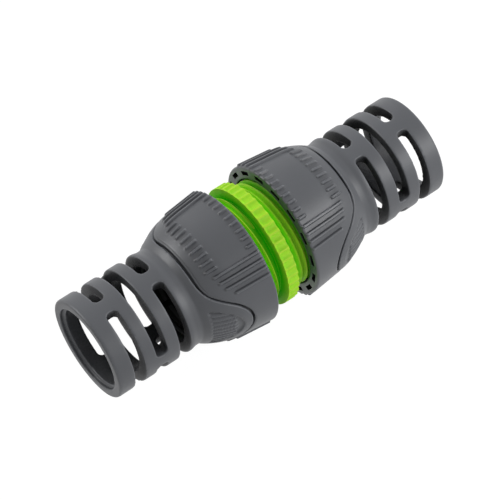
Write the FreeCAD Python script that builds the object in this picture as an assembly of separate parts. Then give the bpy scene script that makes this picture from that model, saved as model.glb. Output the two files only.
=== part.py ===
"""Straight hose mender: a green middle body with a clamping nut and a slotted kink guard on each side.

The hose axis is X and the part lies on the ribs of its two nuts. The origin is the centre of the knurled ring.
Each side is drawn once, with u as the distance from the ring's middle plane outward along +X. The left side is
the same set of pieces turned half round the vertical axis. Lengths are millimetres, angles are degrees.
"""
import FreeCAD, Part
import math
import os

V = FreeCAD.Vector
AXIS = V(1, 0, 0)
CENTRE = V(0, 0, 0)

# Whole part
half_length = 46.8            # ring centre to the end of a kink guard
skin = 1.2                    # kink guard's wall where it wraps the nut
seam_gap = 0.55               # open seam between nut cover and kink guard
running_gap = 0.1             # radial clearance of a piece that slides
end_gap = 0.3                 # axial clearance left at the end of a travel
right_turn = 3.0              # how far the right nut is turned past the left one

# Screw travel from the rest pose
travel_in = 3.6               # nut moves toward the ring until it is tight
tight_gap = 0.42              # ring's side face to the mouth of a nut that is tight

# Knurled ring
ring_width = 3.12
ring_rise = 3.05              # root of the thread to the ring's outside
flute_count = 42
flute_depth = 0.42
flute_width = 1.9

# Threaded collar and hose tail of the middle body
pocket_r = 10.9               # bore of the collar, where the hose end and the collet's skirt sit
collar_wall = 1.5             # collar's bore to the root of its thread
thread_height = 1.2
collar_length = 10.95         # from the ring's side face
key_count = 4
key_width = 1.6
key_height = 0.4
key_play = 0.2
tail_r = 6.6                  # crest of the barbs, for a hose of 12.5 mm bore
tail_root_r = 6.0
tail_length = 18.4            # from the ring's side face
tail_land = 5.0               # plain sealing stretch beside the ring
barb_count = 4
barb_rise = 0.35              # share of a barb's pitch where its slope reaches the crest
barb_land = 0.4
nose_r = 5.4
nose_length = 1.6
water_r = 4.5
collar_chamfer = 0.5

# Nut
mouth_wall = 3.12             # bore of the mouth to the side line at the mouth face
mouth_round = 0.5
side_slope = 0.107            # the grip narrows by this much for each millimetre outward
shoulder_from_mouth = 13.42   # mouth to the corner where the bell begins
shoulder_round = 20.0
bell_slope = 0.70
neck_round = 0.6
mouth_step = 0.3              # bore of the mouth over the thread's bore
mouth_bore_depth = 1.0
cone_rise = 1.7               # wide end of the clamping cone over the collar's bore
cone_length = 7.0
cone_step = 0.3               # narrow end of the cone above the hose opening
lip_step = 0.4                # hose opening at the nut's back end over the collet's bore
lip_wall = 1.24               # wall of the back end that the kink guard wraps
lip_length = 1.0
pocket_count = 16
pocket_wall = 1.07            # core-out pockets to the side line at the mouth face
pocket_height = 1.1
pocket_span = 11.0            # angle that one core-out pocket covers
pocket_depth = 3.0

# Grip ribs of the nut, on its upper and its lower face
rib_height = 0.5
rib_width = 1.0
rib_pitch = 7.0               # angle from rib to rib
short_rib_count = 9
short_rib_end = 2.8           # mouth to the end of the first ribs, which start at the mouth itself
back_rib_start = 10.05        # mouth to the second set of short ribs
back_rib_end = 13.7
long_rib_angles = (35.0, 41.5, 48.0, 54.5)
long_rib_ends = (12.7, 12.2, 11.5, 9.8)

# Seam of the kink guard as seen from the side: a tongue with a blunt nose
seam_from_mouth = 16.3        # mouth to the seam on top of the nut
nose_from_mouth = 6.8         # mouth to the tip of the tongue
tongue_half = 5.35            # half height where the flank would meet the nose
tongue_round = 7.0
flank_slope = 0.55
root_round = 3.5

# Thumb pad of the tongue
pad_length = 7.3              # the pad ends level with the seam on top
pad_half = 6.3
pad_depth = 0.55
pad_rib_length = 5.6
pad_rib_count = 9
pad_rib_pitch = 1.25
pad_rib_width = 0.6
pad_rib_drop = 0.1            # pad ribs end this far under the tongue's face

# Slotted sleeve of the kink guard
sleeve_step = 0.31            # sleeve over the neck
sleeve_wall = 2.95
end_round = 0.5
entry_step = 0.7              # widened entry of the bore
entry_depth = 1.0
neck_length = 1.5
neck_rise = 1.2               # length over which the neck swells to the sleeve
rise_round = 2.0
end_band = 4.3                # sleeve left whole at its open end
slot_width = 3.0
slot_band = 3.18              # ring left between two rows of slots
slot_clearance = 0.6          # least length left between the neck and the last row
bridge_span = 17.0            # angle of the webs left between two slots
slot_corner = 1.2

# Collet
skirt_wall = 1.2
cone_gap = 0.15               # fingers to the nut's cone
finger_count = 8
finger_slot = 1.4
finger_root = 3.0             # skirt left whole at the collet's inner end
tooth_count = 3
tooth_height = 0.4
tooth_pitch = 1.7

# Radii that follow from the sizes above, from the collar's bore outward
thread_root_r = pocket_r + collar_wall
ring_r = thread_root_r + ring_rise
thread_bore_r = thread_root_r + thread_height + running_gap
mouth_bore_r = thread_bore_r + mouth_step
mouth_r = mouth_bore_r + mouth_wall
pocket_mid_r = mouth_r - pocket_wall - pocket_height / 2
skirt_r = pocket_r - running_gap
finger_bore_r = skirt_r - skirt_wall
lip_r = finger_bore_r + lip_step
cone_r = pocket_r + cone_rise
cone_end_r = lip_r + cone_step
neck_r = lip_r + lip_wall + skin
sleeve_r = neck_r + sleeve_step
sleeve_bore_r = sleeve_r - sleeve_wall

# Stations along the axis that follow from the sizes above
ring_face = ring_width / 2
mouth = ring_face + tight_gap + travel_in
collar_end = ring_face + collar_length
tail_end = ring_face + tail_length
cone_start = collar_end + travel_in + end_gap
lip_start = cone_start + cone_length
nut_end = lip_start + lip_length
shoulder = mouth + shoulder_from_mouth
shoulder_r = mouth_r - side_slope * shoulder_from_mouth
neck_start = shoulder + (shoulder_r - neck_r) / bell_slope
neck_end = neck_start + neck_length
skirt_start = ring_face + travel_in + end_gap
sleeve_start = neck_end + neck_rise
slot_pitch = slot_width + slot_band
slotted_length = half_length - end_band - sleeve_start - slot_clearance
slot_rows = int((slotted_length + slot_band) / slot_pitch)
far = 2 * half_length         # longer than anything a cut goes through


def corner_arc(before, corner, after, radius):
    """Start, middle and end of the arc of this radius that rounds a corner of an outline."""
    p, c, n = (V(q[0], q[1], 0) for q in (before, corner, after))
    to_p, to_n = (p - c).normalize(), (n - c).normalize()
    half = to_p.getAngle(to_n) / 2
    bisector = (to_p + to_n).normalize()
    centre = c + bisector * (radius / math.sin(half))
    start, end = c + to_p * (radius / math.tan(half)), c + to_n * (radius / math.tan(half))
    return start, centre - bisector * radius, end


def outline(corners):
    """Closed face in the XY plane. A corner is (x, y) or (x, y, radius of its rounding)."""
    edges, first, last = [], None, None
    for i, corner in enumerate(corners):
        before, after = corners[i - 1], corners[(i + 1) % len(corners)]
        if len(corner) == 3:
            start, middle, end = corner_arc(before, corner, after, corner[2])
            arc = Part.Arc(start, middle, end).toShape()
        else:
            start = end = V(corner[0], corner[1], 0)
            arc = None
        if last is None:
            first = start
        elif last.distanceToPoint(start) > 1e-6:
            edges.append(Part.makeLine(last, start))
        if arc:
            edges.append(arc)
        last = end
    edges.append(Part.makeLine(last, first))
    return Part.Face(Part.Wire(edges))


def turned(corners):
    """Solid turned about the X axis from (u, r) corners."""
    return outline(corners).revolve(CENTRE, AXIS, 360)


def tube(outer, inner, start, end):
    """Plain tube on the X axis."""
    return turned([(start, inner), (end, inner), (end, outer), (start, outer)])


def side_prism(corners, thickness=far):
    """Outline in (u, z), seen from the side, pushed through the part along Y."""
    face = outline(corners)
    face.rotate(CENTRE, AXIS, 90)
    face.translate(V(0, thickness / 2, 0))
    return face.extrude(V(0, -thickness, 0))


def about_axis(shape, angle):
    """Copy turned about the hose axis. Angles count from the top toward the viewer (-Y)."""
    return shape.rotated(CENTRE, AXIS, angle)


def sector(span, radius, start, end):
    """Slice of a cylinder with this angle, centred on the top."""
    side = -math.sin(math.radians(span / 2)) * radius, math.cos(math.radians(span / 2)) * radius
    arc = Part.Arc(V(start, side[0], side[1]), V(start, 0, radius), V(start, -side[0], side[1])).toShape()
    lines = [Part.makeLine(V(start, -side[0], side[1]), V(start, 0, 0)),
             Part.makeLine(V(start, 0, 0), V(start, side[0], side[1]))]
    return Part.Face(Part.Wire([arc] + lines)).extrude(V(end - start, 0, 0))


def capsule(start, end, width, height):
    """Upright prism on the top, with round ends, as seen from above."""
    r = width / 2
    slab = Part.makeBox(end - start - width, width, height, V(start + r, -r, 0))
    ends = [Part.makeCylinder(r, height, V(x, 0, 0)) for x in (start + r, end - r)]
    return slab.multiFuse(ends).removeSplitter()


def grip_profile(offset, end):
    """Outer side of nut and bell from the mouth to a station, set off by a distance, closed on the axis."""
    corners = [(mouth, 0), (mouth, mouth_r + offset, mouth_round)]
    corners.append((shoulder, shoulder_r + offset, shoulder_round))
    corners.append((neck_start, neck_r + offset, neck_round))
    corners += [(end, neck_r + offset), (end, 0)]
    return corners


def seam_outline(grow):
    """Side view of the kink guard's reach over the nut, grown by a distance all round."""
    nose, top = mouth + nose_from_mouth - grow, mouth + seam_from_mouth - grow
    nose_half = tongue_half - flank_slope * grow + grow / math.cos(math.atan(flank_slope))
    top_half = nose_half + flank_slope * (top - nose)
    upper = [(nose, nose_half, tongue_round + grow), (top, top_half, root_round - grow), (top, far)]
    lower = [(corner[0], -corner[1]) + tuple(corner[2:]) for corner in reversed(upper)]
    return upper + [(far, far), (far, -far)] + lower


def flutes():
    """Cutters for the scallops of the knurled ring."""
    radius = flute_width ** 2 / (8 * flute_depth) + flute_depth / 2
    first = Part.makeCylinder(radius, ring_width, V(-ring_face, 0, ring_r - flute_depth + radius), AXIS)
    return [about_axis(first, i * 360 / flute_count) for i in range(flute_count)]


def tail_corners():
    """Outer side of the barbed tail from the ring's side face to its tip."""
    corners = [(ring_face, tail_r), (ring_face + tail_land, tail_r), (ring_face + tail_land, tail_root_r)]
    first = ring_face + tail_land
    pitch = (tail_end - nose_length - first) / barb_count
    for i in range(1, barb_count + 1):
        crest = first + (i - 1 + barb_rise) * pitch
        corners += [(crest, tail_root_r), (crest, tail_r), (crest + barb_land, tail_r)]
        corners.append((first + i * pitch, tail_root_r))
    corners += [(tail_end, nose_r), (tail_end, water_r)]
    return corners


def core_side():
    """One side of the middle body: collar and tail on half of the ring's web."""
    body = turned([(0, water_r), (0, thread_root_r), (collar_end - collar_chamfer, thread_root_r),
                   (collar_end, thread_root_r - collar_chamfer), (collar_end, pocket_r), (ring_face, pocket_r)]
                  + tail_corners())
    groove_r = pocket_r + key_height + key_play - running_gap
    width = key_width + 2 * key_play
    length = collar_end - ring_face
    groove = Part.makeBox(length, width, groove_r, V(ring_face, -width / 2, 0))
    groove = groove.common(tube(groove_r, skirt_r, ring_face, collar_end))
    return body.cut([about_axis(groove, i * 360 / key_count) for i in range(key_count)])


def make_core_body():
    """Ring, collars and tails in one moulding with one water way."""
    ring = tube(ring_r, pocket_r, -ring_face, ring_face).cut(flutes())
    side = core_side()
    return side.fuse([side.rotated(CENTRE, V(0, 0, 1), 180), ring]).removeSplitter()


def rib_plan():
    """Every grip rib of one face as (angle, start, end)."""
    middle = (short_rib_count - 1) / 2
    before_mouth = mouth - rib_width / 2
    for i in range(short_rib_count):
        angle = (i - middle) * rib_pitch
        yield angle, before_mouth, mouth + short_rib_end
        yield angle, mouth + back_rib_start, mouth + back_rib_end
    for angle, end in zip(long_rib_angles, long_rib_ends):
        for side in (-1, 1):
            yield side * angle, before_mouth, mouth + end


def grip_ribs():
    """Ribs that follow the nut's side, on its upper and its lower face."""
    shell = turned(grip_profile(rib_height, neck_end)).cut(turned(grip_profile(-rib_height, neck_end)))
    ribs = []
    for angle, start, end in rib_plan():
        rib = capsule(start, end, rib_width, 2 * mouth_r).common(shell)
        ribs += [about_axis(rib, angle), about_axis(rib, angle + 180)]
    return ribs


def nut_bore():
    """Hollow of the nut: mouth, female thread, clamping cone and hose opening."""
    return turned([(mouth, 0), (mouth, mouth_bore_r), (mouth + mouth_bore_depth, mouth_bore_r),
                   (mouth + mouth_bore_depth, thread_bore_r), (cone_start, thread_bore_r), (cone_start, cone_r),
                   (lip_start, cone_end_r), (lip_start, lip_r), (nut_end, lip_r), (nut_end, 0)])


def mouth_pockets():
    """Core-out pockets in the nut's mouth face."""
    ring = tube(pocket_mid_r + pocket_height / 2, pocket_mid_r - pocket_height / 2, mouth, mouth + pocket_depth)
    pocket = ring.common(sector(pocket_span, mouth_r, mouth, mouth + pocket_depth))
    return [about_axis(pocket, i * 360 / pocket_count) for i in range(pocket_count)]


def make_nut():
    """Clamping nut: ribbed cover, and the bare back part that the kink guard wraps."""
    body = turned(grip_profile(0, nut_end)).fuse(grip_ribs())
    wrapped = side_prism(seam_outline(seam_gap)).cut(turned(grip_profile(-skin, nut_end)))
    return body.cut(wrapped).cut([nut_bore()] + mouth_pockets()).removeSplitter()


def slot_row(row):
    """The two slots of one row. The webs between them stand at the top or, in every second row, at the sides."""
    middle = half_length - end_band - slot_width / 2 - row * slot_pitch
    span = math.radians(180 - bridge_span)
    edge = sleeve_r * math.cos(span / 2)
    slot = side_prism([(middle - slot_width / 2, edge, slot_corner), (middle + slot_width / 2, edge, slot_corner),
                       (middle + slot_width / 2, far), (middle - slot_width / 2, far)])
    turn = 90 if row % 2 == 0 else 0
    return [about_axis(slot, turn), about_axis(slot, turn + 180)]


def thumb_pad():
    """Recess for the thumb in both tongues, with its ribs left standing."""
    pad_end = mouth + seam_from_mouth
    ellipse = Part.Ellipse(CENTRE, max(pad_length, pad_half), min(pad_length, pad_half))
    face = Part.Face(Part.Wire([ellipse.toShape()]))
    if pad_half > pad_length:
        face.rotate(CENTRE, V(0, 0, 1), 90)
    face.rotate(CENTRE, AXIS, 90)
    face.translate(V(pad_end, far / 2, 0))
    room = face.extrude(V(0, -far, 0)).cut(Part.makeBox(far, far, far, V(pad_end, -far / 2, -far / 2)))
    recess = room.cut(turned(grip_profile(-pad_depth, neck_end)))
    middle = (pad_rib_count - 1) / 2
    heights = [(i - middle) * pad_rib_pitch for i in range(pad_rib_count)]
    bars = [Part.makeBox(pad_rib_length, far, pad_rib_width,
                         V(pad_end - pad_rib_length, -far / 2, z - pad_rib_width / 2)) for z in heights]
    crest = turned(grip_profile(-pad_rib_drop, neck_end))
    return recess.cut([bar.common(crest) for bar in bars])


def make_kink_guard():
    """Slotted sleeve with the bell and the two tongues that wrap the nut."""
    outer = grip_profile(0, neck_end)[:-2]
    outer += [(neck_end, neck_r, rise_round), (sleeve_start, sleeve_r, rise_round)]
    outer += [(half_length, sleeve_r, end_round), (half_length, 0)]
    body = turned(outer).cut(turned(grip_profile(-skin, nut_end)))
    bore = turned([(nut_end, 0), (nut_end, sleeve_bore_r), (half_length - entry_depth, sleeve_bore_r),
                   (half_length - entry_depth, sleeve_bore_r + entry_step),
                   (half_length, sleeve_bore_r + entry_step), (half_length, 0)])
    body = body.common(side_prism(seam_outline(0))).cut(bore)
    slots = [slot for row in range(slot_rows) for slot in slot_row(row)]
    return body.cut(slots + [thumb_pad()]).removeSplitter()


def make_collet():
    """Clamp ring: a keyed skirt that slides in the collar, and toothed fingers under the nut's cone."""
    wedge_start = cone_start + cone_gap
    tip = lip_start - cone_gap
    body = turned([(skirt_start, finger_bore_r), (skirt_start, skirt_r), (wedge_start, skirt_r),
                   (wedge_start, cone_radius(wedge_start) - cone_gap), (tip, cone_radius(tip) - cone_gap),
                   (tip, finger_bore_r)])
    root_r = finger_bore_r + tooth_height / 2
    teeth = [turned([(u, root_r), (u, finger_bore_r - tooth_height), (u + tooth_pitch / 2, finger_bore_r),
                     (u + tooth_pitch / 2, root_r)])
             for u in (tip - (i + 1) * tooth_pitch for i in range(tooth_count))]
    slit_start = skirt_start + finger_root
    slit = Part.makeBox(far, finger_slot, far, V(slit_start, -finger_slot / 2, 0))
    slits = [about_axis(slit, (i + 0.5) * 360 / finger_count) for i in range(finger_count)]
    key = Part.makeBox(finger_root, key_width, skirt_r + key_height, V(skirt_start, -key_width / 2, 0))
    key = key.common(tube(skirt_r + key_height, finger_bore_r, skirt_start, slit_start))
    keys = [about_axis(key, i * 360 / key_count) for i in range(key_count)]
    return body.fuse(teeth).cut(slits).fuse(keys).removeSplitter()


def cone_radius(u):
    """Radius of the nut's clamping cone at a station."""
    return cone_r - (cone_r - cone_end_r) * (u - cone_start) / cone_length


def export(shape, node):
    """Write one piece and report it."""
    shape.exportStep("parts/" + node + ".step")
    print(node, "valid", shape.isValid(), "solids", len(shape.Solids), "volume", round(shape.Volume, 1))


os.makedirs("parts", exist_ok=True)
export(make_core_body(), "core_body")
for name, piece in (("nut", make_nut()), ("kink_guard", make_kink_guard()), ("collet", make_collet())):
    export(about_axis(piece, right_turn) if name != "collet" else piece, "right_" + name)
    export(piece.rotated(CENTRE, V(0, 0, 1), 180), "left_" + name)
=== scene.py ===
# %% [markdown]
# # A hose mender in grey and lime plastic
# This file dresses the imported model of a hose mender. The solids bring the sizes, the places and the motion.
# Here each moulded piece gets a finer skin: soft edges, grip ribs that swell out of the surface, real screw
# threads and plastics that look moulded. All lengths are metres, and the hose runs along X.

# %% Load the frame
import math

import bpy
import bmesh
import numpy as np
from mathutils import Matrix, Vector


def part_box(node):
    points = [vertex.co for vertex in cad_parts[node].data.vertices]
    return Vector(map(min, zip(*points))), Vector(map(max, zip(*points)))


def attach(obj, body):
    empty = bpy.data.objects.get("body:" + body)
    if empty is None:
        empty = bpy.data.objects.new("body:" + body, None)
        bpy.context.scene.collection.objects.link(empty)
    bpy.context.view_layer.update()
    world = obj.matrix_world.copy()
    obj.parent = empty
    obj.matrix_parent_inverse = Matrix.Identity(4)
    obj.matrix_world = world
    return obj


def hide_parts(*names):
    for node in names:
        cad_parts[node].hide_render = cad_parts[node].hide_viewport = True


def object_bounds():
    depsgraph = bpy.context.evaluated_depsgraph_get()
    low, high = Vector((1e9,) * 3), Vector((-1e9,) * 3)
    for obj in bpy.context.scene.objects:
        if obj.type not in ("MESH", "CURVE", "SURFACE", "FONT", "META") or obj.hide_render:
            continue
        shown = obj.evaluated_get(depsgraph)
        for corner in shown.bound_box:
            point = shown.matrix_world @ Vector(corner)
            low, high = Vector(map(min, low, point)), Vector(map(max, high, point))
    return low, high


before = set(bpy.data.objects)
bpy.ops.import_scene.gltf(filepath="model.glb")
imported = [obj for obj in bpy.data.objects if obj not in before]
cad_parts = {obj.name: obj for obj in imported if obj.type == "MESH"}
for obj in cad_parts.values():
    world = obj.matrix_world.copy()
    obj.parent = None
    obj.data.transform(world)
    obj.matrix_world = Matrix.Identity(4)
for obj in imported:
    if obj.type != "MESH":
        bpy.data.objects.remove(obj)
cad_low, cad_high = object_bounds()
mm = 0.001

# %% [markdown]
# The two ends of the mender are the same mouldings, turned half round the upright axis. So every piece is
# drawn once for the right side, where stations count from the middle of the knurled ring, and then placed
# twice. The right nut sits three degrees further round on its thread than the left one, as it does in the
# picture.

# %% Stations read from the frame
nut_low, nut_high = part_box("right_nut")
mouth, nut_end = nut_low.x, nut_high.x
sleeve_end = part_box("right_kink_guard")[1].x
tail_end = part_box("core_body")[1].x
sides = {"left": Matrix.Rotation(math.pi, 4, "Z"), "right": Matrix.Identity(4)}
nut_turn = {"left": 0.0, "right": math.radians(3)}
print("mouth, nut end and sleeve end:", [round(x / mm, 2) for x in (mouth, nut_end, sleeve_end)], "mm")

# %% [markdown]
# The camera matches the photograph: a long lens, level, looking down on the part from the front left. Its
# distance follows from the focal length at which the near end looks just enough larger than the far end.

# %% Camera
view_azimuth, view_elevation = math.radians(-37.58), math.radians(56.29)
back = Vector((math.sin(view_azimuth) * math.cos(view_elevation),
               -math.cos(view_azimuth) * math.cos(view_elevation), math.sin(view_elevation)))
right = Vector((math.cos(view_azimuth), math.sin(view_azimuth), 0))
up = back.cross(right)
centre_right, centre_up, distance = 0.682 * mm, 1.475 * mm, 527.4 * mm

camera_data = bpy.data.cameras.new("camera")
camera_data.lens, camera_data.sensor_width, camera_data.sensor_fit = 165.1, 36, "HORIZONTAL"
camera_data.clip_start, camera_data.clip_end = 0.05, 20
camera = bpy.data.objects.new("camera", camera_data)
camera.location = back * distance - right * centre_right - up * centre_up
camera.rotation_mode = "QUATERNION"
camera.rotation_quaternion = (-back).to_track_quat("-Z", "Y")
bpy.context.scene.collection.objects.link(camera)
bpy.context.scene.camera = camera
print("camera at", [round(c, 3) for c in camera.location])

# %% [markdown]
# A product like this is photographed on a seamless white table under soft light. The main lamp stands close
# by on the right, a little lower than the camera, so its glow runs along the front of each tube and is
# stronger on the near piece. A weak one behind draws the upper edge. A third one, behind on the left, shows
# only as a reflection: it gives the left bell its sheen.

# %% Lamps
bpy.context.scene.view_settings.view_transform = "Standard"


def soft_lamp(name, place, size, power):
    """Square area lamp that looks at the middle of the part."""
    data = bpy.data.lights.new(name, "AREA")
    data.size, data.energy = size, power
    lamp = bpy.data.objects.new(name, data)
    lamp.location = place
    lamp.rotation_mode = "QUATERNION"
    lamp.rotation_quaternion = (-Vector(place)).to_track_quat("-Z", "Y")
    bpy.context.scene.collection.objects.link(lamp)
    return lamp


soft_lamp("front_softbox", (0.25, -0.28, 0.23), size=0.18, power=0.92)
back_softbox = soft_lamp("back_softbox", (0.25, 0.62, 0.40), size=0.30, power=3.4)
back_softbox.visible_glossy = False
bell_softbox = soft_lamp("bell_softbox", (-0.40, 0.46, 0.33), size=0.36, power=3.2)
bell_softbox.visible_diffuse = False

# %% [markdown]
# The studio looks white, but the part gets only a weak fill from it. Light Path tells the two apart: what
# the camera sees, straight or in a reflection, takes one shader, and the light that falls on the part takes
# another.

# %% World
seen_strength, fill_strength = 1.0, 0.22


def white_for_camera(nodes, links, seen, lit):
    """Mix that shows one shader to camera, mirror and glass rays and the other to the light on the part."""
    path = nodes.new("ShaderNodeLightPath")
    camera_or_mirror = nodes.new("ShaderNodeMath")
    camera_or_mirror.operation = "MAXIMUM"
    links.new(path.outputs["Is Camera Ray"], camera_or_mirror.inputs[0])
    links.new(path.outputs["Is Glossy Ray"], camera_or_mirror.inputs[1])
    any_seen = nodes.new("ShaderNodeMath")
    any_seen.operation = "MAXIMUM"
    links.new(camera_or_mirror.outputs[0], any_seen.inputs[0])
    links.new(path.outputs["Is Transmission Ray"], any_seen.inputs[1])
    mix = nodes.new("ShaderNodeMixShader")
    links.new(any_seen.outputs[0], mix.inputs[0])
    links.new(lit.outputs[0], mix.inputs[1])
    links.new(seen.outputs[0], mix.inputs[2])
    return mix


world = bpy.data.worlds.new("white_studio")
bpy.context.scene.world = world
world.use_nodes = True
world_nodes, world_links = world.node_tree.nodes, world.node_tree.links
world_nodes.clear()
world_seen, world_lit = world_nodes.new("ShaderNodeBackground"), world_nodes.new("ShaderNodeBackground")
for background, strength in ((world_seen, seen_strength), (world_lit, fill_strength)):
    background.inputs["Color"].default_value = (1, 1, 1, 1)
    background.inputs["Strength"].default_value = strength
world_mix = white_for_camera(world_nodes, world_links, world_seen, world_lit)
world_links.new(world_mix.outputs[0], world_nodes.new("ShaderNodeOutputWorld").inputs[0])
print("world fill:", fill_strength)

# %% [markdown]
# The table is one wide sheet at the height of the part's lowest ribs. The camera sees a steady glow with a
# faint dull paint over it, which keeps the part's shadow, and the part sees plain pale paint that throws
# light back.

# %% Floor
floor_half, rest_height = 6.0, cad_low.z
table_grey, shadow_grey, table_glow = 0.8, 0.12, 0.96
floor_mesh = bpy.data.meshes.new("floor")
floor_corners = ((-1, -1), (1, -1), (1, 1), (-1, 1))
floor_mesh.from_pydata([(x * floor_half, y * floor_half, rest_height) for x, y in floor_corners],
                       [], [(0, 1, 2, 3)])
floor = bpy.data.objects.new("floor", floor_mesh)
bpy.context.scene.collection.objects.link(floor)
floor_finish = bpy.data.materials.new("white_table")
floor_finish.use_nodes = True
floor_nodes, floor_links = floor_finish.node_tree.nodes, floor_finish.node_tree.links
floor_nodes.clear()
table_paint = floor_nodes.new("ShaderNodeBsdfDiffuse")
table_paint.inputs["Color"].default_value = (table_grey, table_grey, table_grey, 1)
faint_shadow = floor_nodes.new("ShaderNodeBsdfDiffuse")
faint_shadow.inputs["Color"].default_value = (shadow_grey, shadow_grey, shadow_grey, 1)
glow = floor_nodes.new("ShaderNodeEmission")
glow.inputs["Strength"].default_value = table_glow
table_seen = floor_nodes.new("ShaderNodeAddShader")
floor_links.new(faint_shadow.outputs[0], table_seen.inputs[0])
floor_links.new(glow.outputs[0], table_seen.inputs[1])
table_mix = white_for_camera(floor_nodes, floor_links, table_seen, table_paint)
floor_links.new(table_mix.outputs[0], floor_nodes.new("ShaderNodeOutputMaterial").inputs[0])
floor_mesh.materials.append(floor_finish)
print("floor at", round(rest_height / mm, 2), "mm")

# %% [markdown]
# Shade is painted into the nooks: their colour is mixed toward a dark one and their gloss is cut. Ambient
# Occlusion measures how sheltered a point is, and only by its own piece, so a piece that moves takes no
# painted shade with it. A range says how far the measure reaches in millimetres, at which openness a nook
# counts as closed, and at which as free. One range reaches less than a millimetre and paints shade at the
# foot of every rib, and a wide one paints the inside of the sleeves darker. The third lies at the foot of
# the green ring and paints it a darker, pure green, as light that bounces from wall to wall would.

# %% Painted shade in nooks
fine_painted_shade = (0.8, 0.0, 0.70)
deep_painted_shade = (30.0, 0.36, 0.82)
ring_foot_painted_shade = (5.0, 0.62, 0.97)
painted_shade_samples = 8


def painted_shade(nodes, links, ranges):
    """Socket that falls from 1 in the open to 0 in a piece's own nooks. A range is (reach, closed, free)."""
    both = nodes.new("ShaderNodeMath")
    both.operation = "MULTIPLY"
    both.inputs[1].default_value = 1.0
    for socket, (reach, closed, free) in zip(both.inputs, ranges):
        nook = nodes.new("ShaderNodeAmbientOcclusion")
        nook.samples, nook.only_local = painted_shade_samples, True
        nook.inputs["Distance"].default_value = reach * mm
        share = nodes.new("ShaderNodeMapRange")
        share.inputs["From Min"].default_value, share.inputs["From Max"].default_value = closed, free
        links.new(nook.outputs["AO"], share.inputs["Value"])
        links.new(share.outputs["Result"], socket)
    return both.outputs[0]


print("shelter ranges:", fine_painted_shade, deep_painted_shade, ring_foot_painted_shade)

# %% [markdown]
# All the plastics share one recipe. A moulded skin has a fine even grain from the eroded steel of its mould,
# a slow drift in colour from the flow of the melt, and edges painted a little paler, partly as wear and partly
# as a painted highlight. The grain is a bump from fine noise, the drift is broad noise in the colour, and the
# paler edge comes from how sharply the surface turns: that measure is a half on a flat face and more on an
# outer edge.

# %% Recipe of the plastics
edge_measure = "edge_turn"
wear_and_highlight_begins, wear_and_highlight_full, wear_and_highlight_gain, wear_and_highlight_lift = 0.515, 0.58, 1.9, 0.04
melt_scale, melt_detail, melt_low, melt_high = 60.0, 3.0, 0.35, 0.65
patch_scale, fine_detail, roughness_drift = 180.0, 2.0, 0.05
bleed_reach, bleed_depth = (1.0, 1.0, 0.4), 1.0 * mm


def noise(nodes, links, place, scale, detail):
    """Noise that stays with the piece."""
    texture = nodes.new("ShaderNodeTexNoise")
    texture.inputs["Scale"].default_value, texture.inputs["Detail"].default_value = scale, detail
    links.new(place.outputs["Object"], texture.inputs["Vector"])
    return texture


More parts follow.
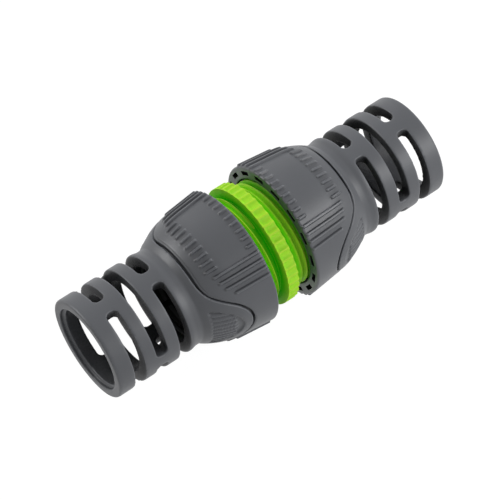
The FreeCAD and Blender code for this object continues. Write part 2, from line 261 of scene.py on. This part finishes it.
def moulded_plastic(name, colour, painted_shade_colour, painted_shade_ranges, roughness, grain_height, grain_size, drift, wear_and_highlight,
                    gloss=0.5, bleed=0.0, marked=True):
    """Moulded plastic with grain, colour drift, edges painted paler as wear and highlight, and painted shade
    in the nooks. Grain sizes are in millimetres.

    A marked mesh carries its own measure of its edges, which a solid that is kept as it came does not.
    """
    finish = bpy.data.materials.new(name)
    finish.use_nodes = True
    nodes, links = finish.node_tree.nodes, finish.node_tree.links
    shader = nodes["Principled BSDF"]
    place = nodes.new("ShaderNodeTexCoord")

    melt = noise(nodes, links, place, melt_scale, melt_detail)
    melt_colour = nodes.new("ShaderNodeValToRGB")
    low_end, high_end = melt_colour.color_ramp.elements
    low_end.position, high_end.position = melt_low, melt_high
    low_end.color = [c * (1 - drift) for c in colour] + [1]
    high_end.color = [c * (1 + drift) for c in colour] + [1]
    links.new(melt.outputs["Fac"], melt_colour.inputs["Fac"])

    # Edges are painted paler here: partly wear, partly a painted highlight on lips and rims.
    edge = nodes.new("ShaderNodeAttribute" if marked else "ShaderNodeNewGeometry")
    if marked:
        edge.attribute_name = edge_measure
    edge_share = nodes.new("ShaderNodeMapRange")
    edge_share.inputs["From Min"].default_value = wear_and_highlight_begins
    edge_share.inputs["From Max"].default_value = wear_and_highlight_full
    edge_share.inputs["To Max"].default_value = wear_and_highlight
    links.new(edge.outputs["Fac" if marked else "Pointiness"], edge_share.inputs["Value"])
    worn_and_highlighted = nodes.new("ShaderNodeMix")
    worn_and_highlighted.data_type = "RGBA"
    worn_and_highlighted.inputs[7].default_value = [min(1, c * wear_and_highlight_gain + wear_and_highlight_lift) for c in colour] + [1]
    links.new(edge_share.outputs["Result"], worn_and_highlighted.inputs[0])
    links.new(melt_colour.outputs["Color"], worn_and_highlighted.inputs[6])

    # Painted shade: where a piece shelters itself, its colour is mixed toward the painted shade colour and its
    # gloss is cut.
    openness = painted_shade(nodes, links, painted_shade_ranges)
    shaded = nodes.new("ShaderNodeMix")
    shaded.data_type = "RGBA"
    shaded.inputs[6].default_value = list(painted_shade_colour) + [1]
    links.new(openness, shaded.inputs[0])
    links.new(worn_and_highlighted.outputs[2], shaded.inputs[7])
    links.new(shaded.outputs[2], shader.inputs["Base Color"])
    shaded_gloss = nodes.new("ShaderNodeMath")
    shaded_gloss.operation = "MULTIPLY"
    shaded_gloss.inputs[1].default_value = gloss
    links.new(openness, shaded_gloss.inputs[0])
    links.new(shaded_gloss.outputs[0], shader.inputs["Specular IOR Level"])

    patches = noise(nodes, links, place, patch_scale, fine_detail)
    gloss_drift = nodes.new("ShaderNodeMapRange")
    gloss_drift.inputs["To Min"].default_value = roughness - roughness_drift
    gloss_drift.inputs["To Max"].default_value = roughness + roughness_drift
    links.new(patches.outputs["Fac"], gloss_drift.inputs["Value"])
    links.new(gloss_drift.outputs["Result"], shader.inputs["Roughness"])
    grain = noise(nodes, links, place, 1.0 / (grain_size * mm), fine_detail)
    bump = nodes.new("ShaderNodeBump")
    bump.inputs["Distance"].default_value, bump.inputs["Strength"].default_value = grain_height * mm, 1.0
    links.new(grain.outputs["Fac"], bump.inputs["Height"])
    links.new(bump.outputs["Normal"], shader.inputs["Normal"])

    shader.inputs["Subsurface Weight"].default_value = bleed
    if bleed:
        shader.inputs["Subsurface Radius"].default_value = bleed_reach
        shader.inputs["Subsurface Scale"].default_value = bleed_depth
    return finish


print("recipe ready: moulded_plastic")

# %% [markdown]
# The nuts are a hard grey plastic and the kink guards a softer one of the same colour, a little duller, with
# a coarser grain and edges painted paler, partly as wear and partly as a highlight. The body is lime green
# and lets a little light bleed through its thin edges.
# The collets inside take a black finish, which keeps the inside of each end dark.

# %% Finishes
grey = (0.106, 0.111, 0.122)
# The third value of each finish is the colour of its painted shade in the nooks: near black for the greys.
hard_grey = moulded_plastic("hard_grey", grey, (0.008, 0.008, 0.008), (fine_painted_shade, deep_painted_shade),
                            roughness=0.42, grain_height=0.018, grain_size=0.16, drift=0.05, wear_and_highlight=0.6)
soft_grey = moulded_plastic("soft_grey", grey, (0.008, 0.008, 0.009), (fine_painted_shade, deep_painted_shade),
                            roughness=0.46, grain_height=0.014, grain_size=0.22, drift=0.06, wear_and_highlight=0.8)
# The lime's nooks get a darker, pure green as painted shade, standing for light bounced between green walls.
lime_green = moulded_plastic("lime_green", (0.54, 0.93, 0.05), (0.0, 0.76, 0.0), (ring_foot_painted_shade,),
                             roughness=0.5, grain_height=0.006, grain_size=0.3, drift=0.04, wear_and_highlight=0.15,
                             gloss=0.15, bleed=0.15)
black = moulded_plastic("black", (0.008, 0.008, 0.009), (0.001, 0.001, 0.001), (fine_painted_shade,),
                        roughness=0.6, grain_height=0.01, grain_size=0.2, drift=0.1, wear_and_highlight=0.2,
                        gloss=0.15, marked=False)
print("finishes:", [m.name for m in (hard_grey, soft_grey, lime_green, black)])

# %% [markdown]
# Blender's own Pointiness takes neighbours closer than a third of a millimetre for one point, which leaves
# pale specks on a part as small as this. So each new mesh carries its own measure: how far the edges at a
# point lean away from its normal, averaged with the neighbours.

# %% Edge measure
shortest_edge = 1e-12


def mark_edges(mesh):
    """Store how sharply the skin turns at each point, for the edges painted paler as wear and highlight."""
    count = len(mesh.vertices)
    points, normals = np.empty(count * 3), np.empty(count * 3)
    ends = np.empty(len(mesh.edges) * 2, dtype=np.int32)
    mesh.vertices.foreach_get("co", points)
    mesh.vertices.foreach_get("normal", normals)
    mesh.edges.foreach_get("vertices", ends)
    points, normals, (a, b) = points.reshape(-1, 3), normals.reshape(-1, 3), ends.reshape(-1, 2).T
    ways = points[b] - points[a]
    ways /= np.linalg.norm(ways, axis=1, keepdims=True).clip(shortest_edge)
    degree = np.bincount(ends, minlength=count)
    lean = np.stack([np.bincount(a, w, count) - np.bincount(b, w, count) for w in ways.T], axis=-1)
    turn = np.arccos(((lean * normals).sum(axis=1) / degree.clip(1)).clip(-1, 1)) / math.pi
    turn = (turn + np.bincount(a, turn[b], count) + np.bincount(b, turn[a], count)) / (degree + 1)
    mesh.attributes.new(edge_measure, "FLOAT", "POINT").data.foreach_set("value", turn)


print("edges are marked as", edge_measure)

# %% [markdown]
# Nearly every surface here is turned: a section line swept round the hose axis. So one helper takes a
# section, lets each point's station and radius change with the angle, and joins the rings of points into a
# closed skin. That is how ribs and flutes grow out of the surface with no seam and no boolean; the thread
# ridges are skins of their own, set into the collar.

# %% Turned skins
full_turn = 2 * math.pi


def closed_mesh(name, points, faces):
    """Mesh from lists, with its faces turned outward."""
    mesh = bpy.data.meshes.new(name)
    mesh.from_pydata(points, [], faces)
    sculpt = bmesh.new()
    sculpt.from_mesh(mesh)
    bmesh.ops.recalc_face_normals(sculpt, faces=sculpt.faces)
    sculpt.to_mesh(mesh)
    sculpt.free()
    return mesh


def turned_skin(name, rows, angles):
    """Closed mesh from rows of (stations, radii). Angles count from the top toward the front."""
    stations, radii = (np.array(values) for values in zip(*rows))
    turns = np.broadcast_to(angles, stations.shape)
    points = np.stack([stations, -radii * np.sin(turns), radii * np.cos(turns)], axis=-1)
    count, around = stations.shape
    index = np.arange(count * around).reshape(count, around)
    after, beside = np.roll(index, -1, axis=0), np.roll(index, -1, axis=1)
    faces = np.stack([index, after, np.roll(after, -1, axis=1), beside], axis=-1).reshape(-1, 4)
    return closed_mesh(name, points.reshape(-1, 3).tolist(), faces.tolist())


print("skins ready: closed_mesh, turned_skin")

# %% [markdown]
# A section is easier to write as a few corners with a rounding than as points, and relief such as a rib
# needs a smooth rise. The next helpers give both.

# %% Lines and steps


def rounded_line(corners, steps):
    """Points along an outline. A corner is (x, y) or (x, y, radius of its rounding)."""
    points = []
    for i, corner in enumerate(corners):
        if len(corner) == 2:
            points.append(corner)
            continue
        c = Vector(corner[:2])
        to_before = (Vector(corners[i - 1][:2]) - c).normalized()
        to_after = (Vector(corners[i + 1][:2]) - c).normalized()
        half = to_before.angle(to_after) / 2
        middle = c + (to_before + to_after).normalized() * corner[2] / math.sin(half)
        start = c + to_before * corner[2] / math.tan(half) - middle
        end = c + to_after * corner[2] / math.tan(half) - middle
        for k in range(steps + 1):
            turn = start.slerp(end, k / steps) if k else start
            points.append(tuple(middle + turn.normalized() * corner[2]))
    return np.array(points)


def soft_step(value, start, end):
    """Smooth rise from 0 at start to 1 at end."""
    share = np.clip((value - start) / (end - start), 0, 1)
    return share * share * (3 - 2 * share)


def spread(rows, line, angles):
    """Add one row for each point of a plain line, the same at every angle."""
    for station, radius in line:
        rows.append((np.full(angles.shape, station), np.full(angles.shape, radius)))


round_corner = rounded_line([(0, 1), (0, 0, 0.5), (1, 0)], steps=4)
print("a corner rounded in four steps has", len(round_corner) - 2, "points")

# %% [markdown]
# The clamping nut is one turned skin. Its side narrows a little from the mouth, bends over a long soft
# shoulder into the bell, and runs on into the neck of the kink guard.

# %% Side line of the grip
side_slope, shoulder, bell_slope = 0.107, mouth + 13.42 * mm, 0.70
mouth_r, neck_r, skin = 17.12 * mm, 12.44 * mm, 1.2 * mm
shoulder_round, neck_round, neck_length, run_out = 20 * mm, 0.6 * mm, 1.5 * mm, 3 * mm
shoulder_r = mouth_r - side_slope * (shoulder - mouth)
neck_start = shoulder + (shoulder_r - neck_r) / bell_slope
neck_end = neck_start + neck_length
station_count = 900
side_stations = np.linspace(mouth, neck_end, station_count)


def grip_radius(stations, offset=0.0):
    """Radius of the side line from the mouth to the neck, set off inward or outward."""
    line = rounded_line([(mouth - run_out, mouth_r + offset + run_out * side_slope),
                         (shoulder, shoulder_r + offset, shoulder_round),
                         (neck_start, neck_r + offset, neck_round),
                         (neck_end + run_out, neck_r + offset)], steps=24)
    return np.interp(stations, line[:, 0], line[:, 1])


print("neck from", round(neck_start / mm, 2), "to", round(neck_end / mm, 2), "mm")

# %% [markdown]
# The nut stops at the seam, where the kink guard takes over. The seam is a curve seen from the side: a
# tongue with a blunt nose that reaches toward the mouth, mirrored below. For each angle the helper finds the
# station at which the side line meets that curve. The real tongue is a little slimmer and rounder than the
# solid's, so both are given here, as half the height of the nose and its rounding.

# %% Seam
solid_tongue = (5.35 * mm, 7.0 * mm)
real_tongue = (4.75 * mm, 8.0 * mm)
seam_nose, seam_top, seam_slope = mouth + 6.8 * mm, mouth + 16.3 * mm, 0.55
seam_foot_round, seam_gap, far_out = 3.5 * mm, 0.55 * mm, 40 * mm


def seam_stations(angles, grow, tongue=real_tongue):
    """Where the seam lies at each angle, grown toward the mouth. A tongue is (half height, rounding)."""
    nose_half, nose_round = tongue
    nose, top = seam_nose - grow, seam_top - grow

    def flank(station):
        return nose_half + seam_slope * (station - seam_nose) + grow / math.cos(math.atan(seam_slope))

    line = rounded_line([(nose, 0), (nose, flank(nose), nose_round + grow),
                         (top, flank(top), seam_foot_round - grow), (top, far_out)], steps=24)
    height = np.abs(np.cos(angles))[:, None] * grip_radius(side_stations)[None, :]
    reach = np.interp(side_stations, line[:, 0], line[:, 1], left=-1.0, right=far_out)
    reach[side_stations >= top] = far_out
    inside = height <= reach[None, :]
    return side_stations[np.argmax(inside, axis=1)]


upright = np.array([0.0, math.pi / 2])
print("seam at the top and at the side:", [round(s / mm, 2) for s in seam_stations(upright, 0)], "mm")

# %% [markdown]
# Grip ribs stand on the upper and the lower face. Each one is a flat-topped ridge with round ends: its
# height falls off steeply at a set distance from its middle line. Nine short ribs sit at the mouth, nine
# more behind them, and four long ones close each end of the row. The space between the two short sets stays
# bare.

# %% Grip ribs
rib_height, rib_width, rib_flank, rib_pitch = 0.5 * mm, 1.0 * mm, 0.34 * mm, math.radians(7)
rib_run, rib_reach, rib_start = 0.6 * mm, math.radians(4), mouth - rib_width / 2
short_ribs, front_end = 9, mouth + 2.8 * mm
rear_start, rear_end = mouth + 10.05 * mm, mouth + 13.7 * mm
long_ribs = ((35.0, 12.7), (41.5, 12.2), (48.0, 11.5), (54.5, 9.8))


def rib_plan():
    """Every grip rib as (angle, start, end). A long one is listed in degrees and millimetres."""
    for face in (0.0, math.pi):
        for i in range(short_ribs):
            angle = face + (i - short_ribs // 2) * rib_pitch
            yield angle, rib_start, front_end
            yield angle, rear_start, rear_end
        for degrees, length in long_ribs:
            for way in (-1, 1):
                yield face + way * math.radians(degrees), rib_start, mouth + length * mm


def rib_relief(stations, radii, angles):
    """Height of the ribs over the side line."""
    relief = np.zeros_like(stations)
    for angle, start, end in rib_plan():
        turn = (angles - angle + math.pi) % full_turn - math.pi
        near = np.abs(turn) < rib_reach
        along = stations[:, near]
        beyond = np.maximum(start + rib_width / 2 - along, along - (end - rib_width / 2)).clip(0)
        away = np.hypot(beyond, radii[:, near] * turn[near])
        head = max(start, mouth)
        ends = soft_step(along, head, head + rib_run) * soft_step(end - along, 0, rib_run)
        ridge = rib_height * ends * soft_step(rib_width / 2 - away, 0, rib_flank)
        relief[:, near] = np.maximum(relief[:, near], ridge)
    return relief


print("grip ribs:", len(list(rib_plan())))

# %% [markdown]
# A skin with the same fine step everywhere would be far too heavy. So its angles lie close together only at
# the flanks of the ribs, at the walls of the mouth's pockets and where the seam runs steeply, and wide apart
# between.

# %% Angles of the nut
pocket_count, pocket_half_span, pocket_depth = 16, math.radians(5.5), 3.0 * mm
pocket_corner, pocket_rise = 0.4 * math.radians(1), 0.3 * math.radians(1)
rib_places = (-0.62, -0.5, -0.4, -0.3, -0.18, 0, 0.18, 0.3, 0.4, 0.5, 0.62)
seam_arcs, seam_arc_span, seam_arc_step = (46, 102, 226, 282), 32, 0.6
plain_step, clear_step, least_step = 1.5, math.radians(0.4), math.radians(0.15)


def nut_angles():
    """Angles of the nut's skin, close together where its relief is steep."""
    flanks = [np.arange(start, start + seam_arc_span, seam_arc_step) for start in seam_arcs]
    coarse = np.radians(np.unique(np.concatenate([np.arange(0, 360, plain_step)] + flanks)))
    across = np.array(rib_places) * rib_width / mouth_r
    ribs = [angle + across for angle, start, end in rib_plan()]
    walls = np.array([-1, 1]) * pocket_corner
    pockets = [i * full_turn / pocket_count + way * pocket_half_span + walls
               for i in range(pocket_count) for way in (-1, 1)]
    dense = np.sort(np.concatenate(ribs + pockets) % full_turn)
    lonely = [a for a in coarse if np.abs((dense - a + math.pi) % full_turn - math.pi).min() > clear_step]
    angles = np.sort(np.concatenate([dense, lonely]))
    return angles[np.diff(angles, append=angles[0] + full_turn) > least_step]


print("angles of the nut's skin:", len(nut_angles()))

# %% [markdown]
# The section of the nut runs from the lip that the hose passes, along the cone and the thread's bore to the
# mouth, across the face with its pockets, and back over the ribbed side to the seam. There it turns down and
# goes on under the kink guard as a thinner wall.

# %% Nut skin
thread_bore, mouth_bore, lip_r, cone_r = 13.7 * mm, 14.0 * mm, 10.0 * mm, 12.6 * mm
cone_start, lip_start, thread_start = nut_end - 8.0 * mm, nut_end - 1.0 * mm, mouth + 1.0 * mm
lip_face, lip_step, mouth_face, bore_round = 0.9 * mm, 0.3 * mm, 0.6 * mm, 0.2 * mm
pocket_inner, pocket_floor, pocket_outer = 14.95 * mm, (15.2 * mm, 15.8 * mm), 15.98 * mm
pocket_wall, face_r, back_edge = 0.04 * mm, 15.0 * mm, 0.3 * mm
mouth_round, seam_round = 0.5 * mm, 0.32 * mm
bare_rings, side_rings, turn_rings, back_rings = 3, 76, 6, 13


def make_nut():
    """Nut at the right end, as a closed skin."""
    around = nut_angles()
    seam = seam_stations(around, seam_gap)
    rows = []

    def ring(station, radius):
        rows.append((np.broadcast_to(station, around.shape), np.broadcast_to(radius, around.shape)))

    inner = rounded_line([(nut_end, lip_r + lip_face), (nut_end, lip_r, bore_round),
                          (lip_start, lip_r, bore_round), (lip_start, lip_r + lip_step),
                          (cone_start, cone_r), (cone_start, thread_bore),
                          (thread_start, thread_bore), (thread_start, mouth_bore),
                          (mouth, mouth_bore, bore_round), (mouth, mouth_bore + mouth_face)], steps=3)
    spread(rows, inner, around)

    turn = (around * pocket_count + math.pi) % full_turn / pocket_count - math.pi / pocket_count
    in_pocket = soft_step(pocket_half_span - np.abs(turn), -pocket_rise, pocket_rise)
    ring(mouth, pocket_inner - pocket_wall)
    for radius in (pocket_inner, *pocket_floor, pocket_outer):
        ring(mouth + pocket_depth * in_pocket, radius)
    ring(mouth, pocket_outer + pocket_wall)

    first_outer = len(rows)
    mouth_edge = rounded_line([(mouth, face_r), (mouth, mouth_r, mouth_round),
                               (shoulder, shoulder_r)], steps=6)[1:-1]
    spread(rows, mouth_edge, around)
    side_start = mouth_edge[-1][0]
    for share in np.linspace(0, 1, side_rings + 2)[1:-1]:
        station = side_start + (seam - seam_round - side_start) * share
        ring(station, grip_radius(station))
    last_outer = len(rows)
    for step in range(turn_rings):
        turn_down = math.pi / 2 * step / (turn_rings - 1)
        drop = seam_round * (1 - math.cos(turn_down))
        ring(seam - seam_round * (1 - math.sin(turn_down)), grip_radius(seam) - drop)
    ring(seam, grip_radius(seam, -skin))
    for share in np.linspace(0, 1, back_rings + 1)[1:]:
        station = seam + (nut_end - back_edge - seam) * share
        ring(station, grip_radius(station, -skin))
    ring(nut_end, neck_r - skin - back_edge)

    ribbed = range(first_outer + bare_rings, last_outer)
    ribbed_stations, ribbed_radii = (np.array(values) for values in zip(*(rows[i] for i in ribbed)))
    for i, rise in zip(ribbed, rib_relief(ribbed_stations, ribbed_radii, around)):
        rows[i] = (rows[i][0], rows[i][1] + rise)
    return turned_skin("nut", rows, around)


nut_mesh = make_nut()
print("nut faces", len(nut_mesh.polygons))

# %% [markdown]
# A piece is shaded smooth but stays crisp where its faces meet at more than 45 degrees. Then it is turned to
# its side, told which body it rides on and which finish it wears. A nut stands in for its solid.

# %% Place the nuts
crisp_edge = math.radians(45)


def place(mesh, name, side, body, finish, slot, twist=0.0):
    """Shaded object on one side of the part, riding on a body."""
    piece = bpy.data.objects.new(name, mesh)
    mesh.shade_smooth()
    mesh.set_sharp_from_angle(angle=crisp_edge)
    if edge_measure not in mesh.attributes:
        mark_edges(mesh)
    if not mesh.materials:
        mesh.materials.append(finish)
    piece.matrix_world = sides[side] @ Matrix.Rotation(twist, 4, "X")
    bpy.context.scene.collection.objects.link(piece)
    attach(piece, body)
    return piece


for side in sides:
    nut = place(nut_mesh, side + "_nut_cover", side, side + "_nut", hard_grey, "grey_plastic", nut_turn[side])
    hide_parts(side + "_nut")
    print("placed", nut.name)

# %% [markdown]
# The kink guard is the slotted sleeve with the bell and tongues that wrap the nut. It is moulded in a softer
# plastic, so all its edges are round. Its solid is resampled on a fine lattice and relaxed a few times,
# which rounds every edge of the slots, the seam and the thumb pad alike. Then its rim slides along the nut's
# side from the solid's seam to the real one, and the move dies out over the next few millimetres.

# %% Kink guards
lattice, relax_passes, relax_share = 0.25 * mm, 3, 0.5
reseat_reach, seam_table_step = 5.0 * mm, 0.25


def reseat_seam(points, side):
    """Slide the guard's rim along the nut's side from the solid's seam to the real one."""
    to_world = np.array(sides[side] @ Matrix.Rotation(nut_turn[side], 4, "X"))[:3, :3]
    local = points @ to_world
    angles, radii = np.arctan2(-local[:, 1], local[:, 2]), np.hypot(local[:, 1], local[:, 2])
    every = np.radians(np.arange(-180, 180 + seam_table_step / 2, seam_table_step))
    solid_seam = np.interp(angles, every, seam_stations(every, 0, solid_tongue))
    shift = np.interp(angles, every, seam_stations(every, 0)) - solid_seam
    stations = local[:, 0] + shift * (1 - (local[:, 0] - solid_seam) / reseat_reach).clip(0, 1)
    scale = 1 + (grip_radius(stations) - grip_radius(local[:, 0])) / radii
    return np.stack([stations, local[:, 1] * scale, local[:, 2] * scale], axis=-1) @ to_world.T


def softened(node, name, side):
    """Mesh of a guard's node, resampled, relaxed and reseated, held inside the node's own box."""
    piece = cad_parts[node].copy()
    piece.data = piece.data.copy()
    bpy.context.scene.collection.objects.link(piece)
    resample = piece.modifiers.new("resample", "REMESH")
    resample.mode, resample.voxel_size, resample.adaptivity = "VOXEL", lattice, 0
    relax = piece.modifiers.new("relax", "SMOOTH")
    relax.factor, relax.iterations = relax_share, relax_passes
    bpy.context.view_layer.update()
    shape = bpy.data.meshes.new_from_object(piece.evaluated_get(bpy.context.evaluated_depsgraph_get()))
    matrix = piece.matrix_world.copy()
    bpy.data.objects.remove(piece)
    shape.name = name
    shape.transform(matrix)
    low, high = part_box(node)
    points = np.empty(len(shape.vertices) * 3)
    shape.vertices.foreach_get("co", points)
    points = np.clip(reseat_seam(points.reshape(-1, 3), side), low, high)
    shape.vertices.foreach_set("co", points.ravel())
    shape.materials.clear()
    shape.update()
    return shape


for side in sides:
    guard_mesh = softened(side + "_kink_guard", side + "_guard", side)
    guard = bpy.data.objects.new(side + "_guard_sleeve", guard_mesh)
    guard_mesh.shade_smooth()
    mark_edges(guard_mesh)
    guard_mesh.materials.append(soft_grey)
    bpy.context.scene.collection.objects.link(guard)
    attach(guard, side + "_nut")
    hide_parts(side + "_kink_guard")
    print(guard.name, "faces", len(guard_mesh.polygons))

# %% [markdown]
# The screw thread has two starts, so the nut moves three millimetres in one turn over ridges that stand one
# and a half apart. A ridge is a rounded trapezoid swept along its helix, and it fades into the collar at
# both ends. Inside the nut a mating pair of ridges runs halfway between, so the two mesh at every turn.

# %% Thread ridge
lead, starts = 3.0 * mm, 2
sweep_step, ridge_sink = math.radians(4), 0.12 * mm
flank_share, crest_share = 0.5, 0.93


def helix_ridge(name, phase, low, high, foot, crest, foot_half, crest_half, fade):
    """Ridge along a right-hand helix between two stations. Its crest may point outward or inward."""
    angles = np.arange((low - phase) / lead * full_turn, (high - phase) / lead * full_turn, sweep_step)
    run = (angles - angles[0]) * lead / full_turn
    total = run[-1]
    rise = soft_step(run, 0, fade) * soft_step(total - run, 0, fade)
    sunk = foot + math.copysign(ridge_sink, foot - crest)
    middle_half = (foot_half + crest_half) / 2
    section = [(-foot_half, 0.0), (-middle_half, flank_share), (-crest_half, crest_share), (0.0, 1.0),
               (crest_half, crest_share), (middle_half, flank_share), (foot_half, 0.0)]
    points = []
    for angle, height in zip(angles, rise):
        middle = phase + lead * angle / full_turn
        for across, share in section:
            radius = sunk + (crest - sunk) * height * share
            points.append((middle + across, -radius * math.sin(angle), radius * math.cos(angle)))
    width = len(section)
    faces = []
    for i in range(len(angles) - 1):
        a, b = i * width, (i + 1) * width
        faces += [(a + k, a + k + 1, b + k + 1, b + k) for k in range(width - 1)]
        faces.append((a + width - 1, a, b, b + width - 1))
    faces += [tuple(range(width)), tuple(reversed(range(len(points) - width, len(points))))]
    return closed_mesh(name, points, faces)


print("lead", lead / mm, "mm,", starts, "starts")

# %% [markdown]
# The phase sets where the first ridge crosses the top of the collar. It was read from the picture for each
# side.

# %% Threads
collar_r = 12.4 * mm
thread_phase = {"left": 3.85 * mm, "right": 3.0 * mm}

for side in sides:
    for start in range(starts):
        phase = thread_phase[side] - start * lead / starts
        ridge = helix_ridge("collar_thread", phase, low=2.1 * mm, high=11.8 * mm, foot=collar_r,
                            crest=13.6 * mm, foot_half=0.6 * mm, crest_half=0.13 * mm, fade=0.6 * mm)
        place(ridge, f"{side}_collar_thread_{start + 1}", side, "core", lime_green, "green_plastic")
        mate = helix_ridge("nut_thread", phase + lead / 4, low=mouth + 1.6 * mm, high=nut_end - 8.8 * mm,
                           foot=thread_bore, crest=13.05 * mm, foot_half=0.46 * mm, crest_half=0.12 * mm,
                           fade=0.5 * mm)
        place(mate, f"{side}_nut_thread_{start + 1}", side, side + "_nut", hard_grey, "grey_plastic")
print("thread ridges:", 2 * len(sides) * starts)

# %% [markdown]
# The middle body is one green moulding: the knurled ring, a collar to each side of it for the thread, and a
# barbed tail inside each collar. It is one turned skin too, from a section that is drawn for the right half
# and mirrored.

# %% Section of the middle body
ring_face, ring_r, pocket_r, water_r = 1.56 * mm, 15.45 * mm, 10.9 * mm, 4.5 * mm
tail_r, tail_root_r, nose_r, land_end = 6.6 * mm, 6.0 * mm, 5.4 * mm, 6.56 * mm
barbs, nose_length, crest_place, crest_land = 4, 1.6 * mm, 0.65, 0.4 * mm
barb_pitch = (tail_end - nose_length - land_end) / barbs
collar_end, collar_lip = 12.51 * mm, 2 * mm
tail_round, collar_round, foot_round, ring_round = 0.15 * mm, 0.5 * mm, 0.25 * mm, 0.15 * mm


def core_line():
    """Section of the right half, from the water way round the tail and the collar to the ring."""
    line = [(0, water_r), (tail_end, water_r, tail_round), (tail_end, nose_r, tail_round),
            (land_end + barbs * barb_pitch, tail_root_r)]
    for i in range(barbs, 0, -1):
        crest = land_end + (i - crest_place) * barb_pitch
        line += [(crest + crest_land, tail_r), (crest, tail_r), (crest, tail_root_r)]
        if i > 1:
            line.append((land_end + (i - 1) * barb_pitch, tail_root_r))
    line += [(land_end, tail_root_r), (land_end, tail_r), (ring_face, tail_r), (ring_face, pocket_r)]
    line += [(collar_end - collar_lip, pocket_r), (collar_end, pocket_r, tail_round),
             (collar_end, collar_r, collar_round), (ring_face, collar_r, foot_round),
             (ring_face, ring_r, ring_round), (0, ring_r)]
    return rounded_line(line, steps=4)


print("barb pitch", round(barb_pitch / mm, 2), "mm")

# %% [markdown]
# The flutes of the ring are shallow scallops. They run out through its right face and end in a smooth rim on
# the left. Four grooves inside each collar guide the keys of the collet.

# %% Middle body
flute_count, flute_width, flute_depth, flute_points = 42, 1.9 * mm, 0.42 * mm, 14
ring_half, ring_rows, rim_depth, rim_end = 1.0, 9, 0.8 * mm, 0.75
groove_half, groove_depth, groove_soft, same_radius = 1.0 * mm, 0.5 * mm, 0.1 * mm, 0.01 * mm


def make_core():
    """Middle body as a closed skin, with its flutes and its key grooves."""
    angles = np.radians(np.arange(0, 360, 360 / flute_count / flute_points))
    right_half = core_line()
    left_half = right_half[::-1] * (-1, 1)
    ring_top = [(x, ring_r) for x in np.linspace(ring_half, -ring_half, ring_rows) * mm]
    section = np.concatenate([right_half[:-1], ring_top, left_half[1:-1]])
    scallop = flute_width ** 2 / (8 * flute_depth) + flute_depth / 2
    turn = (angles + math.pi / flute_count) % (full_turn / flute_count) - math.pi / flute_count
    across = np.abs(turn) * ring_r
    flute = flute_depth - scallop + np.sqrt((scallop ** 2 - across ** 2).clip(0))
    key_turn = (angles + math.pi / 4) % (math.pi / 2) - math.pi / 4
    groove = groove_depth * soft_step(groove_half - np.abs(key_turn) * pocket_r, -groove_soft, groove_soft)
    rows = []
    for station, radius in section:
        row = np.full(angles.shape, radius)
        if radius > ring_r - rim_depth:
            room = ring_r - flute.clip(0) * soft_step(station, -ring_face, -rim_end * ring_face)
            row = np.minimum(row, room)
        if abs(radius - pocket_r) < same_radius and abs(station) > ring_face:
            row = row + groove
        rows.append((np.full(angles.shape, station), row))
    return turned_skin("core", rows, angles)


core = place(make_core(), "core_skin", "right", "core", lime_green, "green_plastic")
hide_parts("core_body")
print("core faces", len(core.data.polygons))

# %% [markdown]
# The two collets keep their own solids, since every edge of theirs is meant to be crisp. They only take a
# finish.

# %% Collets
for node in ("left_collet", "right_collet"):
    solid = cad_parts[node]
    solid.data.materials.clear()
    solid.data.materials.append(black)
    print("finished", node)
